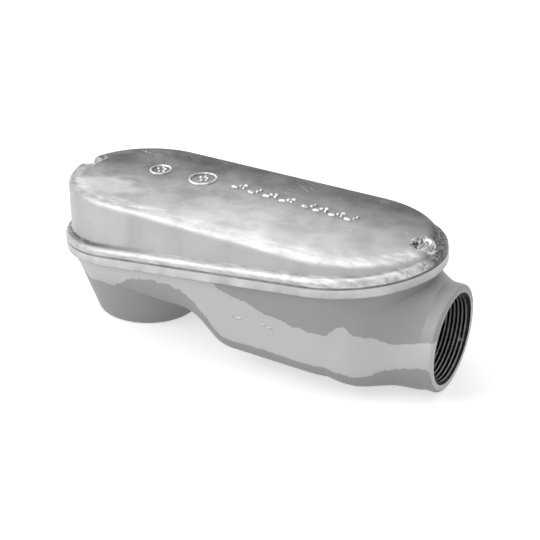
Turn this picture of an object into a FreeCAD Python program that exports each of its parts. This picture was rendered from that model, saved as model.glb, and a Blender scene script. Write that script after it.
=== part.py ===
import FreeCAD, Part
import math
import os
import Sketcher
from FreeCAD import Placement, Rotation, Vector

# Conduit body, trade size 2-1/2, with its threaded end hub along +X, its threaded back hub
# facing -Z and a sloping cover on top. Millimetres, +Z up. The origin is the centre of the
# back hub's face. The joint plane, where cover and casting meet, rises towards the end hub.

SIZES = [
    # hubs: both take the same conduit
    ("hub_radius", 42.4, "outside of both hubs at the face"),
    ("thread_radius", 35.9, "root of the pipe thread, and radius of the plain bore"),
    ("thread_length", 25.4, "length of full thread in each hub"),
    ("lip_radius", 31.0, "integral bushing lip behind each thread"),
    ("lip_length", 4.5, "thickness of that lip"),
    ("lip_round", 2.0, "rounding of that lip"),
    ("mouth_chamfer", 0.6, "lead-in at each thread"),
    ("rim_round", 2.6, "rounding of each hub's outer rim"),
    ("end_reach", 277.6, "end hub face, from the back hub axis"),
    ("end_rise", 46.9, "end hub axis, above the back hub face"),
    ("end_hub_length", 26.0, "round part of the end hub behind its face"),
    ("hub_free", 19.0, "least length of that hub in front of the trough's end"),
    # the neck's sections, from the round hub back into the trough
    ("neck_end", 9.0, "first section, behind the end hub's face"),
    ("neck_inside", 0.8, "first section inside the round hub"),
    ("throat_back", 19.0, "second section, behind the hub's face"),
    ("throat_swell", 0.9, "its sides, out from the round hub"),
    ("throat_drop", 0.7, "its underside, below the round hub"),
    ("throat_lift", 2.3, "its top, above the round hub"),
    ("throat_flat", 3.3, "half the flat between its corners"),
    ("collar_back", 30.0, "third section, behind the hub's face"),
    ("collar_swell", 4.2, "its sides, out from the round hub"),
    ("collar_raise", 2.3, "its underside, above the round hub's"),
    ("collar_flat", 12.6, "half the flat between its corners"),
    ("waist_back", 23.938, "fourth section, behind the trough's end"),
    ("waist_inset", 21.0, "its sides, inside the flange outline"),
    ("waist_drop", 6.0, "its underside, below the belly"),
    ("waist_flat", 30.6, "half the flat between its corners"),
    ("shoulder_back", 42.938, "fifth section, behind the trough's end"),
    ("shoulder_inset", 11.4, "its sides, inside the flange outline"),
    ("shoulder_drop", 2.6, "its underside, below the belly"),
    ("root_back", 62.938, "last section, behind the trough's end"),
    ("root_inset", 9.0, "its sides, inside the flange outline"),
    ("neck_lift", 5.7, "top of these sections above the round hub, under the flange"),
    ("neck_gap", 2.0, "least gap over that top, below the flange's far end"),
    ("neck_bore_end", 15.8, "end bore's reach into the chamber, behind the trough's end"),
    # joint plane and flanges
    ("joint_tilt", 7.5, "slope of the joint plane, in degrees"),
    ("joint_rise", 71.7, "joint plane above the back hub face, on the back hub axis"),
    ("flange_length", 331.6, "flange outline, end to end"),
    ("flange_radius", 75.6, "flange outline, half the width and radius of both ends"),
    ("flange_back", 67.2, "flange end behind the back hub axis, along the joint"),
    ("body_flange", 7.2, "thickness of the casting's flange"),
    ("flange_overhang", 3.6, "flange beyond the casting's side walls"),
    ("flange_break", 1.2, "broken edge of the casting's flange"),
    # trough
    ("wall", 5.0, "casting wall"),
    ("side_draft", 3.0, "draft of the side walls, in degrees"),
    ("valley_rise", 40.0, "underside over the back hub"),
    ("belly_rise", 16.0, "underside of the trough"),
    ("belly_start", 121.0, "where the flat belly begins"),
    ("sweep_radius", 30.0, "both curves of the step in the underside"),
    ("sweep_slope", 42.0, "slope of that step, in degrees"),
    ("lower_round", 18.0, "rounding between side walls and underside"),
    ("cone_inset", 4.3, "back hub's skirt inside the flange outline where they meet"),
    ("skirt_foot", 5.5, "metal of that skirt at the hub's face, across"),
    ("skirt_head", 8.0, "metal of that skirt at the flange, across"),
    # cover
    ("bead_height", 6.9, "thickness of the cover's flange"),
    ("bead_round", 5.0, "rounding of the cover's flange"),
    ("dome_inset", 5.2, "dome wall inside the flange outline"),
    ("dome_draft", 4.0, "draft of the dome wall, in degrees"),
    ("dome_top", 118.4, "flat top of the cover above the back hub face"),
    ("dome_least", 12.0, "least height of that top above the joint plane"),
    ("dome_round", 7.0, "rounding of the dome's top edge"),
    ("margin_width", 16.0, "margin of the dome's top that falls towards its edge"),
    ("margin_fall", 1.1, "how far it falls"),
    ("cover_wall", 4.5, "wall of the cover"),
    # gasket
    ("gasket_thickness", 1.2, "gasket between the flanges"),
    ("gasket_inset", 1.5, "gasket edge inside the flange outline"),
    # cover screws
    ("screw_inset", 14.0, "screw axis inside the flange end"),
    ("screw_radius", 3.9, "shank of the cover screws"),
    ("screw_length", 24.0, "shank length under the head"),
    ("head_radius", 6.8, "round head"),
    ("head_height", 4.2, "round head"),
    ("head_round", 3.0, "rounding of the head"),
    ("slot_width", 1.8, "screwdriver slot"),
    ("slot_depth", 2.2, "screwdriver slot"),
    ("hole_clearance", 0.6, "cover and gasket holes round the shank, on the radius"),
    ("tap_clearance", 0.1, "tapped hole round the shank, on the radius"),
    ("boss_radius", 9.0, "screw bosses inside the casting"),
    ("boss_length", 22.0, "those bosses below the joint plane"),
    ("well_radius", 11.5, "screw well in the deep end of the dome"),
    ("seat_clearance", 0.8, "flat seat round the head, on the radius"),
    ("seat_flare", 27.0, "flare of the dished seat in the shallow end, in degrees"),
    ("shallow_boss", 11.0, "metal round the screw inside the shallow end, radius"),
]

doc = FreeCAD.newDocument("conduit_body")
sheet = doc.addObject("Spreadsheet::Sheet", "Sizes")
for row, (alias, value, note) in enumerate(SIZES, start=1):
    sheet.set("A%d" % row, alias)
    sheet.set("B%d" % row, str(value))
    sheet.set("C%d" % row, note)
    sheet.setAlias("B%d" % row, alias)
doc.recompute()


def size(alias):
    """The value of one driving size."""
    return float(sheet.get(alias))


gauge = doc.addObject("App::FeaturePython", "gauge")
gauge.addProperty("App::PropertyFloat", "reading")


def value(expression):
    """An expression over the sizes, worked out now to draw a sketch near its final form."""
    gauge.setExpression("reading", expression)
    gauge.recompute()
    return gauge.reading


def new_body(name):
    """An empty PartDesign body."""
    body = doc.addObject("PartDesign::Body", name)
    body.Label = name
    return body


def new_sketch(body, name, role, lift=None, on_joint=None):
    """A sketch on one of the body's origin planes: lifted along the plane's normal, or laid on
    the joint plane and lifted from it along its normal."""
    sketch = body.newObject("Sketcher::SketchObject", name)
    plane = [part for part in body.Origin.OriginFeatures if part.Role == role][0]
    sketch.AttachmentSupport = [(plane, "")]
    sketch.MapMode = "FlatFace"
    if on_joint is not None:
        sketch.AttachmentOffset = Placement(Vector(), Rotation(Vector(0, -1, 0), size("joint_tilt")))
        sketch.setExpression("AttachmentOffset.Rotation.Angle", "Sizes.joint_tilt")
        sketch.setExpression("AttachmentOffset.Base.x", "-(%s) * sin(Sizes.joint_tilt)" % on_joint)
        sketch.setExpression(
            "AttachmentOffset.Base.z",
            "Sizes.joint_rise + (%s) * cos(Sizes.joint_tilt)" % on_joint,
        )
    elif lift is not None:
        sketch.setExpression("AttachmentOffset.Base.z", lift)
    return sketch


def dimension(sketch, constraint, expression):
    """Add a dimension to a sketch and bind it to the sizes."""
    index = sketch.addConstraint(constraint)
    sketch.setExpression("Constraints[%d]" % index, expression)


def draw_stadium(sketch, start, length, radius):
    """A round-ended outline along the sketch's X axis; each end is two quarter arcs."""
    first, last, r = value(start), value(start) + value(length), value(radius)
    up = Vector(0, 0, 1)
    left, right = Vector(first + r, 0, 0), Vector(last - r, 0, 0)
    quarter = math.pi / 2
    top = sketch.addGeometry(Part.LineSegment(left + Vector(0, r, 0), right + Vector(0, r, 0)))
    low = sketch.addGeometry(Part.LineSegment(left - Vector(0, r, 0), right - Vector(0, r, 0)))
    arcs = []
    for centre, angle in ((right, 0), (right, -quarter), (left, quarter), (left, 2 * quarter)):
        circle = Part.Circle(centre, up, r)
        arcs.append(sketch.addGeometry(Part.ArcOfCircle(circle, angle, angle + quarter)))
    right_top, right_low, left_top, left_low = arcs
    joins = (
        (top, 2, right_top, 2), (right_top, 1, right_low, 2), (right_low, 1, low, 2),
        (low, 1, left_low, 2), (left_low, 1, left_top, 2), (left_top, 1, top, 1),
        (right_top, 3, right_low, 3), (left_top, 3, left_low, 3),
    )
    for one, end, other, other_end in joins:
        sketch.addConstraint(Sketcher.Constraint("Coincident", one, end, other, other_end))
    for arc, point in ((right_top, 3), (left_top, 3), (right_top, 1), (left_top, 2)):
        sketch.addConstraint(Sketcher.Constraint("PointOnObject", arc, point, -1))
    for arc, point in ((right_top, 2), (right_low, 1), (left_top, 1), (left_low, 2)):
        sketch.addConstraint(Sketcher.Constraint("Vertical", arc, 3, arc, point))
    sketch.addConstraint(Sketcher.Constraint("Equal", right_top, left_top))
    dimension(sketch, Sketcher.Constraint("Radius", right_top, r), radius)
    start_to_centre = Sketcher.Constraint("DistanceX", -1, 1, left_top, 3, first + r)
    dimension(sketch, start_to_centre, "(%s) + (%s)" % (start, radius))
    centre_to_centre = Sketcher.Constraint("DistanceX", left_top, 3, right_top, 3, last - first - 2 * r)
    dimension(sketch, centre_to_centre, "(%s) - 2 * (%s)" % (length, radius))


def draw_circle(sketch, centre_x, radius):
    """A circle with its centre on the sketch's X axis."""
    x, r = value(centre_x), value(radius)
    ring = sketch.addGeometry(Part.Circle(Vector(x, 0, 0), Vector(0, 0, 1), r))
    sketch.addConstraint(Sketcher.Constraint("PointOnObject", ring, 3, -1))
    dimension(sketch, Sketcher.Constraint("Radius", ring, r), radius)
    if abs(x) < 1e-9:
        sketch.addConstraint(Sketcher.Constraint("PointOnObject", ring, 3, -2))
    else:
        dimension(sketch, Sketcher.Constraint("DistanceX", -1, 1, ring, 3, x), centre_x)


def draw_polygon(sketch, points):
    """A closed polygon whose corners are pairs of expressions, each bound on its own."""
    corners = [Vector(value(x), value(y), 0) for x, y in points]
    lines = []
    for here, there in zip(corners, corners[1:] + corners[:1]):
        lines.append(sketch.addGeometry(Part.LineSegment(here, there)))
    for line, following in zip(lines, lines[1:] + lines[:1]):
        sketch.addConstraint(Sketcher.Constraint("Coincident", line, 2, following, 1))
    for line, (x, y), corner in zip(lines, points, corners):
        for kind, expression, place, axis in (
            ("DistanceX", x, corner.x, -2), ("DistanceY", y, corner.y, -1),
        ):
            if abs(place) < 1e-9:
                sketch.addConstraint(Sketcher.Constraint("PointOnObject", line, 1, axis))
            else:
                dimension(sketch, Sketcher.Constraint(kind, -1, 1, line, 1, place), expression)


def pad(body, name, sketch, length, down=False, draft=None):
    """Pad a sketch along its normal, or against it."""
    feature = body.newObject("PartDesign::Pad", name)
    feature.Profile = sketch
    feature.Reversed = down
    feature.setExpression("Length", length)
    if draft is not None:
        feature.setExpression("TaperAngle", draft)
    doc.recompute()
    return feature


def pocket(body, name, sketch, length=None, up=False, both=False):
    """Cut a sketch out of the body against its normal, or along it; through all without a length."""
    feature = body.newObject("PartDesign::Pocket", name)
    feature.Profile = sketch
    feature.Reversed = up
    if length is None:
        feature.Type = "ThroughAll"
    else:
        feature.setExpression("Length", length)
    if both:
        feature.SideType = "Symmetric"
    doc.recompute()
    return feature


def revolve(body, name, sketch):
    """Turn a sketch a full circle about its own X axis."""
    feature = body.newObject("PartDesign::Revolution", name)
    feature.Profile = sketch
    feature.ReferenceAxis = (sketch, ["H_Axis"])
    feature.Angle = 360
    doc.recompute()
    return feature


def loft(body, name, first, last):
    """A straight-sided loft between two sketches."""
    feature = body.newObject("PartDesign::AdditiveLoft", name)
    feature.Profile = first
    feature.Sections = [last]
    feature.Ruled = True
    doc.recompute()
    return feature


def edges_where(shape, test):
    """Names of the edges whose middle point passes a test."""
    names = []
    for number, edge in enumerate(shape.Edges, start=1):
        first, last = edge.ParameterRange
        if test(edge.valueAt((first + last) / 2), edge):
            names.append("Edge%d" % number)
    return names


def fillet(body, name, base, test, radius):
    """Round the edges of a feature that pass a test."""
    feature = body.newObject("PartDesign::Fillet", name)
    feature.Base = (base, edges_where(base.Shape, test))
    feature.setExpression("Radius", radius)
    doc.recompute()
    return feature


# far end of the flange along the joint, and of the trough along X: under the flange's end,
# or behind the end hub where the hub stands back
FLANGE_END = "(Sizes.flange_length - Sizes.flange_back)"
TROUGH_END = "min(%s * cos(Sizes.joint_tilt) - Sizes.flange_overhang; %s)" % (
    FLANGE_END, "Sizes.end_reach - Sizes.hub_free",
)
# plan of the trough, seen from above, and the top level its sides are drafted from
PLAN_START = "-Sizes.flange_back * cos(Sizes.joint_tilt) + Sizes.flange_overhang"
PLAN_LENGTH = "%s - (%s)" % (TROUGH_END, PLAN_START)
PLAN_RADIUS = "Sizes.flange_radius - Sizes.flange_overhang"
PLAN_TOP = "Sizes.joint_rise + %s * sin(Sizes.joint_tilt)" % FLANGE_END
# back hub's skirt where it meets the flange
CONE = "(Sizes.flange_radius - Sizes.cone_inset)"
# a length that goes past every edge of the part
PAST = "2 * Sizes.flange_length"


def draw_underside(sketch, inward):
    """What lies below the underside: level over the back hub, a sweep down, then the belly."""
    slope = math.radians(size("sweep_slope"))
    hollow = size("sweep_radius") + value(inward)
    swell = size("sweep_radius") - value(inward)
    high = size("valley_rise") + value(inward)
    low = size("belly_rise") + value(inward)
    left, right = -value(PAST), value(PAST)
    lower_centre = Vector(size("belly_start"), low + swell, 0)
    turn_in = lower_centre + Vector(-swell * math.sin(slope), -swell * math.cos(slope), 0)
    drop = high - hollow * (1 - math.cos(slope)) - turn_in.y
    turn_out = turn_in + Vector(-drop / math.tan(slope), drop, 0)
    upper_centre = turn_out - Vector(hollow * math.sin(slope), hollow * math.cos(slope), 0)
    normal = Vector(0, 0, 1)
    up = math.pi / 2
    valley = sketch.addGeometry(Part.LineSegment(Vector(left, high, 0), Vector(upper_centre.x, high, 0)))
    circle = Part.Circle(upper_centre, normal, hollow)
    upper = sketch.addGeometry(Part.ArcOfCircle(circle, up - slope, up))
    run = sketch.addGeometry(Part.LineSegment(turn_out, turn_in))
    circle = Part.Circle(lower_centre, normal, swell)
    lower = sketch.addGeometry(Part.ArcOfCircle(circle, -up - slope, -up))
    belly = sketch.addGeometry(Part.LineSegment(Vector(lower_centre.x, low, 0), Vector(right, low, 0)))
    far_side = sketch.addGeometry(Part.LineSegment(Vector(right, low, 0), Vector(right, left, 0)))
    bottom = sketch.addGeometry(Part.LineSegment(Vector(right, left, 0), Vector(left, left, 0)))
    near_side = sketch.addGeometry(Part.LineSegment(Vector(left, left, 0), Vector(left, high, 0)))
    for one, end, other, other_end in (
        (valley, 2, upper, 2), (upper, 1, run, 1), (run, 2, lower, 1), (lower, 2, belly, 1),
    ):
        sketch.addConstraint(Sketcher.Constraint("Tangent", one, end, other, other_end))
    for one, other in ((belly, far_side), (far_side, bottom), (bottom, near_side), (near_side, valley)):
        sketch.addConstraint(Sketcher.Constraint("Coincident", one, 2, other, 1))
    for line in (valley, belly, bottom):
        sketch.addConstraint(Sketcher.Constraint("Horizontal", line))
    for line in (far_side, near_side):
        sketch.addConstraint(Sketcher.Constraint("Vertical", line))
    bound = (
        (Sketcher.Constraint("Radius", upper, hollow), "Sizes.sweep_radius + (%s)" % inward),
        (Sketcher.Constraint("Radius", lower, swell), "Sizes.sweep_radius - (%s)" % inward),
        (Sketcher.Constraint("DistanceY", -1, 1, valley, 1, high), "Sizes.valley_rise + (%s)" % inward),
        (Sketcher.Constraint("DistanceY", -1, 1, belly, 2, low), "Sizes.belly_rise + (%s)" % inward),
        (Sketcher.Constraint("DistanceX", -1, 1, lower, 3, lower_centre.x), "Sizes.belly_start"),
        (Sketcher.Constraint("Angle", -1, 1, run, 1, -slope), "-Sizes.sweep_slope"),
        (Sketcher.Constraint("DistanceX", -1, 1, bottom, 1, right), PAST),
        (Sketcher.Constraint("DistanceX", bottom, 2, -1, 1, -left), PAST),
        (Sketcher.Constraint("DistanceY", bottom, 2, -1, 1, -left), PAST),
    )
    for constraint, expression in bound:
        dimension(sketch, constraint, expression)


def trough(body, inward):
    """The trough's block, set in from the casting's outside by an expression: drafted sides,
    stepped underside and rounded lower corners."""
    plan = new_sketch(body, body.Name + "_plan", "XY_Plane", lift=PLAN_TOP)
    draw_stadium(
        plan,
        "%s + (%s)" % (PLAN_START, inward),
        "%s - 2 * (%s)" % (PLAN_LENGTH, inward),
        "%s - (%s)" % (PLAN_RADIUS, inward),
    )
    block = pad(body, body.Name + "_block", plan, PLAN_TOP, down=True, draft="-Sizes.side_draft")
    side = new_sketch(body, body.Name + "_underside", "XZ_Plane")
    draw_underside(side, inward)
    stepped = pocket(body, body.Name + "_step", side, both=True)
    below = size("valley_rise") + value(inward) + 0.5

    def is_lower(point, edge):
        return point.z < below and abs(point.y) > 1

    radius = "Sizes.lower_round - (%s)" % inward
    return fillet(body, body.Name + "_lower_round", stepped, is_lower, radius)


def draw_rounded(sketch, half_width, low, high, corner):
    """A rectangle with round corners, level with the sketch's Y axis."""
    w, bottom, top, r = value(half_width), value(low), value(high), value(corner)
    up = Vector(0, 0, 1)
    quarter = math.pi / 2
    corners = ((w - r, top - r, 0), (r - w, top - r, 1), (r - w, bottom + r, 2), (w - r, bottom + r, 3))
    arcs = []
    for x, y, turn in corners:
        circle = Part.Circle(Vector(x, y, 0), up, r)
        arcs.append(sketch.addGeometry(Part.ArcOfCircle(circle, turn * quarter, (turn + 1) * quarter)))
    for here, there in zip(arcs, arcs[1:] + arcs[:1]):
        start = sketch.getPoint(here, 2)
        end = sketch.getPoint(there, 1)
        line = sketch.addGeometry(Part.LineSegment(start, end))
        sketch.addConstraint(Sketcher.Constraint("Tangent", here, 2, line, 1))
        sketch.addConstraint(Sketcher.Constraint("Tangent", line, 2, there, 1))
        kind = "Horizontal" if here in (arcs[0], arcs[2]) else "Vertical"
        sketch.addConstraint(Sketcher.Constraint(kind, line))
    for arc in arcs[1:]:
        sketch.addConstraint(Sketcher.Constraint("Equal", arcs[0], arc))
    dimension(sketch, Sketcher.Constraint("Radius", arcs[0], r), corner)
    right = Sketcher.Constraint("DistanceX", -1, 1, arcs[0], 3, w - r)
    dimension(sketch, right, "(%s) - (%s)" % (half_width, corner))
    left = Sketcher.Constraint("DistanceX", arcs[1], 3, -1, 1, w - r)
    dimension(sketch, left, "(%s) - (%s)" % (half_width, corner))
    upper = Sketcher.Constraint("DistanceY", -1, 1, arcs[0], 3, top - r)
    dimension(sketch, upper, "(%s) - (%s)" % (high, corner))
    lower = Sketcher.Constraint("DistanceY", -1, 1, arcs[3], 3, bottom + r)
    dimension(sketch, lower, "(%s) + (%s)" % (low, corner))


def above_joint(point):
    """Height of a point above the joint plane."""
    slope = math.radians(size("joint_tilt"))
    return -point.x * math.sin(slope) + (point.z - size("joint_rise")) * math.cos(slope)


def neck(body):
    """The blend from the trough's boxy section to the round end hub."""
    face, trough_end = "Sizes.end_reach - ", TROUGH_END + " - "
    hub_low = "Sizes.end_rise - Sizes.hub_radius"
    hub_high = "Sizes.end_rise + Sizes.hub_radius"
    top = "min(%s + Sizes.neck_lift; %s - Sizes.body_flange - Sizes.neck_gap)" % (hub_high, PLAN_TOP)
    snug = "Sizes.hub_radius - Sizes.neck_inside"
    throat = "Sizes.hub_radius + Sizes.throat_swell"
    collar = "Sizes.hub_radius + Sizes.collar_swell"
    waist = "Sizes.flange_radius - Sizes.waist_inset"
    shoulder = "Sizes.flange_radius - Sizes.shoulder_inset"
    root = "Sizes.flange_radius - Sizes.root_inset"
    sections = (
        ("hub", face + "Sizes.neck_end", snug, hub_low + " + Sizes.neck_inside",
         hub_high + " - Sizes.neck_inside", snug + " - Sizes.neck_inside"),
        ("throat", face + "Sizes.throat_back", throat, hub_low + " - Sizes.throat_drop",
         hub_high + " + Sizes.throat_lift", throat + " - Sizes.throat_flat"),
        ("collar", face + "Sizes.collar_back", collar, hub_low + " + Sizes.collar_raise",
         top, collar + " - Sizes.collar_flat"),
        ("waist", trough_end + "Sizes.waist_back", waist, "Sizes.belly_rise - Sizes.waist_drop",
         top, waist + " - Sizes.waist_flat"),
        ("shoulder", trough_end + "Sizes.shoulder_back", shoulder,
         "Sizes.belly_rise - Sizes.shoulder_drop", top, "Sizes.lower_round"),
        ("root", trough_end + "Sizes.root_back", root, "Sizes.belly_rise", top, "Sizes.lower_round"),
    )
    sketches = []
    for name, place, half_width, low, high, corner in sections:
        sketch = new_sketch(body, name + "_section", "YZ_Plane", lift=place)
        draw_rounded(sketch, half_width, low, high, corner)
        sketches.append(sketch)
    feature = body.newObject("PartDesign::AdditiveLoft", "neck")
    feature.Profile = sketches[0]
    feature.Sections = sketches[1:]
    doc.recompute()
    return feature


def joint_rectangle(body, name, on_joint):
    """A sketch on the joint plane that covers the whole part."""
    sketch = new_sketch(body, name, "XY_Plane", on_joint=on_joint)
    draw_polygon(sketch, [("-" + PAST, "-" + PAST), (PAST, "-" + PAST), (PAST, PAST), ("-" + PAST, PAST)])
    return sketch


# screw axes, along the joint from the back hub's axis
DEEP_SCREW = "-Sizes.flange_back + Sizes.screw_inset"
SHALLOW_SCREW = FLANGE_END + " - Sizes.screw_inset"


def joint_circle(body, name, centre, radius, on_joint="0"):
    """A circle on the joint plane, or above it."""
    sketch = new_sketch(body, name, "XY_Plane", on_joint=on_joint)
    draw_circle(sketch, centre, radius)
    return sketch


def casting_outside():
    """The solid outer form of the casting, with its tapped screw holes."""
    body = new_body("casting_outside")
    trough(body, "0")
    neck(body)
    pocket(body, "casting_top_cut", joint_rectangle(body, "over_joint", "0"), PAST, up=True)

    rim = new_sketch(body, "back_hub_rim", "XY_Plane")
    draw_circle(rim, "0", "Sizes.hub_radius")
    skirt = joint_circle(
        body, "back_hub_skirt", "Sizes.flange_radius - Sizes.flange_back", CONE,
        on_joint="-Sizes.body_flange",
    )
    loft(body, "back_hub", rim, skirt)

    face = new_sketch(body, "end_hub_face", "YZ_Plane", lift="Sizes.end_reach")
    face.setExpression("AttachmentOffset.Base.y", "Sizes.end_rise")
    draw_circle(face, "0", "Sizes.hub_radius")
    pad(body, "end_hub", face, "Sizes.end_hub_length", down=True)

    outline = new_sketch(body, "casting_flange_outline", "XY_Plane", on_joint="0")
    draw_stadium(outline, "-Sizes.flange_back", "Sizes.flange_length", "Sizes.flange_radius")
    plate = pad(body, "casting_flange", outline, "Sizes.body_flange", down=True)

    def is_rim(point, edge):
        at_end = abs(point.x - size("end_reach")) < 0.01
        return at_end or (abs(point.z) < 0.01 and edge.Closed)

    rims = fillet(body, "hub_rims", plate, is_rim, "Sizes.rim_round")

    def is_flange_edge(point, edge):
        low = above_joint(point) + size("body_flange")
        outside_wall = size("flange_radius") - size("flange_overhang") / 2
        straight = abs(point.y) > outside_wall
        along = point.x / math.cos(math.radians(size("joint_tilt")))
        left_centre = size("flange_radius") - size("flange_back")
        right_centre = value(FLANGE_END) - size("flange_radius")
        if along < left_centre:
            straight = math.hypot(along - left_centre, point.y) > outside_wall
        if along > right_centre:
            straight = math.hypot(along - right_centre, point.y) > outside_wall
        return abs(low) < 0.01 and straight

    broken = fillet(body, "flange_break", rims, is_flange_edge, "Sizes.flange_break")
    for name, centre in (("deep", DEEP_SCREW), ("shallow", SHALLOW_SCREW)):
        hole = joint_circle(body, name + "_tap", centre, "Sizes.screw_radius + Sizes.tap_clearance")
        pocket(body, name + "_tapped_hole", hole, "Sizes.boss_length - Sizes.wall")
    return body


def casting_core():
    """The empty space in the casting: chamber, bushing lips, bores and the space round the bosses."""
    body = new_body("casting_core")
    trough(body, "Sizes.wall")

    # the chamber over the back hub, parallel to its skirt and closed below by the lip
    rim = new_sketch(body, "core_rim", "XY_Plane")
    draw_circle(rim, "0", "Sizes.hub_radius - Sizes.skirt_foot")
    skirt = joint_circle(
        body, "core_skirt", "Sizes.flange_radius - Sizes.flange_back",
        CONE + " - Sizes.skirt_head", on_joint="-Sizes.body_flange",
    )
    loft(body, "core_cone", rim, skirt)
    floor = new_sketch(body, "lip_floor", "XY_Plane", lift="Sizes.thread_length + Sizes.lip_length")
    draw_polygon(floor, [("-" + PAST, "-" + PAST), (CONE, "-" + PAST), (CONE, PAST), ("-" + PAST, PAST)])
    pocket(body, "lip_floor_cut", floor)

    # the end hub reaches into the chamber as a ring
    ring = new_sketch(body, "hub_ring", "YZ_Plane", lift="Sizes.end_reach")
    ring.setExpression("AttachmentOffset.Base.y", "Sizes.end_rise")
    draw_circle(ring, "0", "Sizes.hub_radius")
    pocket(body, "hub_ring_cut", ring, "Sizes.thread_length + Sizes.lip_length")
    for name, centre in (("deep", DEEP_SCREW), ("shallow", SHALLOW_SCREW)):
        boss = joint_circle(body, name + "_boss", centre, "Sizes.boss_radius", on_joint=PAST)
        pocket(body, name + "_boss_cut", boss, PAST + " + Sizes.boss_length")

    end_profile = new_sketch(body, "end_bore_profile", "XZ_Plane")
    end_profile.setExpression("AttachmentOffset.Base.x", "Sizes.end_reach")
    end_profile.setExpression("AttachmentOffset.Base.y", "Sizes.end_rise")
    back_profile = new_sketch(body, "back_bore_profile", "XZ_Plane")
    back_profile.AttachmentOffset = Placement(Vector(), Rotation(Vector(0, 0, 1), -90))
    depth = "Sizes.thread_length + Sizes.lip_length + Sizes.wall"
    end_depth = "max(%s; Sizes.end_reach - %s + Sizes.neck_bore_end)" % (depth, TROUGH_END)
    for name, profile, inner in (
        ("end_bore", end_profile, end_depth), ("back_bore", back_profile, depth),
    ):
        draw_bore(profile, inner)
        bores = revolve(body, name, profile)

    def is_lip(point, edge):
        at_end = abs(point.x - size("end_reach") + size("thread_length") + size("lip_length")) < 0.01
        at_back = abs(point.z - size("thread_length") - size("lip_length")) < 0.01
        is_round = edge.Curve.TypeId == "Part::GeomCircle"
        return is_round and (at_end or at_back) and abs(edge.Curve.Radius - size("lip_radius")) < 0.01

    fillet(body, "lip_round", bores, is_lip, "Sizes.lip_round")
    return body


def draw_bore(profile, depth):
    """Half of a hub's bore about the sketch's X axis, which points out of the hub from its face:
    throat, thread and lead-in."""
    inner = "-(%s)" % depth
    flare = "Sizes.thread_radius + Sizes.mouth_chamfer + Sizes.wall"
    draw_polygon(profile, [
        (inner, "0"), (inner, "Sizes.lip_radius"), ("-Sizes.thread_length", "Sizes.lip_radius"),
        ("-Sizes.thread_length", "Sizes.thread_radius"), ("-Sizes.mouth_chamfer", "Sizes.thread_radius"),
        ("Sizes.wall", flare), ("Sizes.wall", "0"),
    ])


def cut(name, base, tool):
    """A boolean cut with a label of its own."""
    feature = doc.addObject("Part::Cut", name)
    feature.Label = name
    feature.Base = base
    feature.Tool = tool
    doc.recompute()
    return feature


# heights above the joint plane
COVER_LOW = "Sizes.gasket_thickness"
SEAT = "Sizes.gasket_thickness + Sizes.bead_height"


# far end of the dome along the joint: inside the flange outline, or where the level top has
# come down to its least height above the joint plane
DOME_END = "min(%s - Sizes.dome_inset; %s)" % (
    FLANGE_END, "(Sizes.dome_top - Sizes.dome_least - Sizes.joint_rise) / sin(Sizes.joint_tilt)",
)


def dome(body, inward, round_radius):
    """The wedge under the level top, set in by an expression: walls drafted from the joint, a
    margin that falls a little towards the edge, and a rounded edge."""
    plan = new_sketch(body, body.Name + "_plan", "XY_Plane", on_joint="0")
    start = "-Sizes.flange_back + Sizes.dome_inset + " + inward
    length = "%s - (%s) - (%s)" % (DOME_END, start, inward)
    draw_stadium(plan, start, length, "Sizes.flange_radius - Sizes.dome_inset - " + inward)
    pad(body, body.Name + "_block", plan, "Sizes.dome_top", draft="-Sizes.dome_draft")
    top = new_sketch(body, body.Name + "_top", "XY_Plane", lift="Sizes.dome_top - " + inward)
    draw_polygon(top, [("-" + PAST, "-" + PAST), (PAST, "-" + PAST), (PAST, PAST), ("-" + PAST, PAST)])
    level = size("dome_top") - value(inward)
    block = pocket(body, body.Name + "_top_cut", top, PAST, up=True)

    def is_top(point, edge):
        return abs(point.z - level) < 0.01

    margin = body.newObject("PartDesign::Chamfer", body.Name + "_margin")
    margin.Base = (block, edges_where(block.Shape, is_top))
    margin.ChamferType = "Two distances"
    margin.setExpression("Size", "Sizes.margin_fall")
    margin.setExpression("Size2", "Sizes.margin_width")
    doc.recompute()
    rim = level - size("margin_fall")

    def is_rim(point, edge):
        return abs(point.z - rim) < 0.05 and edge.BoundBox.ZLength < 0.1

    return fillet(body, body.Name + "_round", margin, is_rim, round_radius)


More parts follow.
